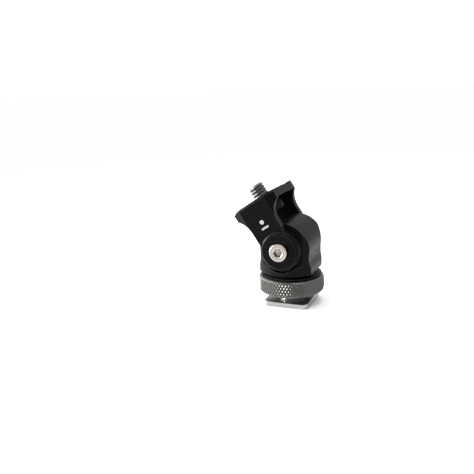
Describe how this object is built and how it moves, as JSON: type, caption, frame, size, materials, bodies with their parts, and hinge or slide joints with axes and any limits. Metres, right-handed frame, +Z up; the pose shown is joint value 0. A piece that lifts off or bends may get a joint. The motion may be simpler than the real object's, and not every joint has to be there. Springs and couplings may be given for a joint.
{
  "type": "swivel and tilt monitor bracket",
  "caption": "Shoe-mounted swivel and tilt bracket: a knurled locking ring clamps the foot, a round body swivels, and a yoke with a threaded stud tilts on a socket-head screw.",
  "frame": {"origin": "on the swivel axis, at the underside of the shoe foot", "axes": "+Z up along the swivel axis, Y along the hinge screw with its head facing -Y, X along the shoe's slide direction"},
  "size_m": [0.0327, 0.0314, 0.0476],
  "materials": {
    "body_black": "bead-blasted, black anodised aluminium",
    "bush_brass": "turned brass",
    "cap_black": "matte black moulded plastic",
    "clamp_nylon": "matte black moulded nylon",
    "foot_black": "fine satin black anodised aluminium",
    "friction_grey": "smooth low-friction plastic sheet",
    "nut_steel": "plain stainless steel",
    "pad_rubber": "matte black rubber with a fine texture",
    "pin_steel": "ground steel",
    "ring_silver": "diamond knurled, turned bright silver aluminium",
    "screw_steel": "bright stainless steel, fine turned face",
    "spring_steel": "blued spring steel",
    "stem_steel": "turned and threaded stainless steel",
    "thumb_black": "straight knurled black anodised aluminium"
  },
  "bodies": {
    "shoe": {"shoe_foot": "stem_steel", "base_disc": "foot_black", "base_pin_left": "pin_steel", "base_pin_right": "pin_steel", "swivel_friction_washer": "friction_grey", "swivel_spring_washer_lower": "spring_steel", "swivel_spring_washer_upper": "spring_steel", "swivel_screw": "screw_steel"},
    "clamp": {"clamp_washer": "clamp_nylon"},
    "ring": {"knurled_ring": "ring_silver"},
    "swivel": {"swivel_body": "body_black", "bore_cap": "cap_black", "hinge_bush": "bush_brass", "hinge_washer_front": "friction_grey", "hinge_washer_back": "friction_grey"},
    "head": {"yoke": "body_black", "top_pad": "pad_rubber", "hinge_lock_washer": "spring_steel", "hinge_screw": "screw_steel", "hinge_nut": "nut_steel"},
    "thumb": {"thumb_screw": "thumb_black", "thumb_washer": "friction_grey", "thumb_clip": "spring_steel"}
  },
  "joints": [
    {"name": "ring_lift", "type": "slide", "parent": "shoe", "child": "clamp", "axis": [0, 0, 1], "range_m": [-0.002, 0.00025]},
    {"name": "ring_turn", "type": "hinge", "parent": "clamp", "child": "ring", "pos_m": [0, 0, 0.0084], "axis": [0, 0, 1], "range_deg": [-720, 90]},
    {"name": "swivel_turn", "type": "hinge", "parent": "shoe", "child": "swivel", "pos_m": [0, 0, 0.0155], "axis": [0, 0, 1], "continuous": true},
    {"name": "head_tilt", "type": "hinge", "parent": "swivel", "child": "head", "pos_m": [0, 0, 0.024], "axis": [0, 1, 0], "range_deg": [-52, 118]},
    {"name": "thumb_turn", "type": "hinge", "parent": "head", "child": "thumb", "pos_m": [-0.00958, 0, 0.03864], "axis": [-0.5476, 0, 0.8368], "continuous": true}
  ],
  "couplings": [
    {"joint": "ring_turn", "follows": "ring_lift", "rad_per_m": 6283.2}
  ]
}
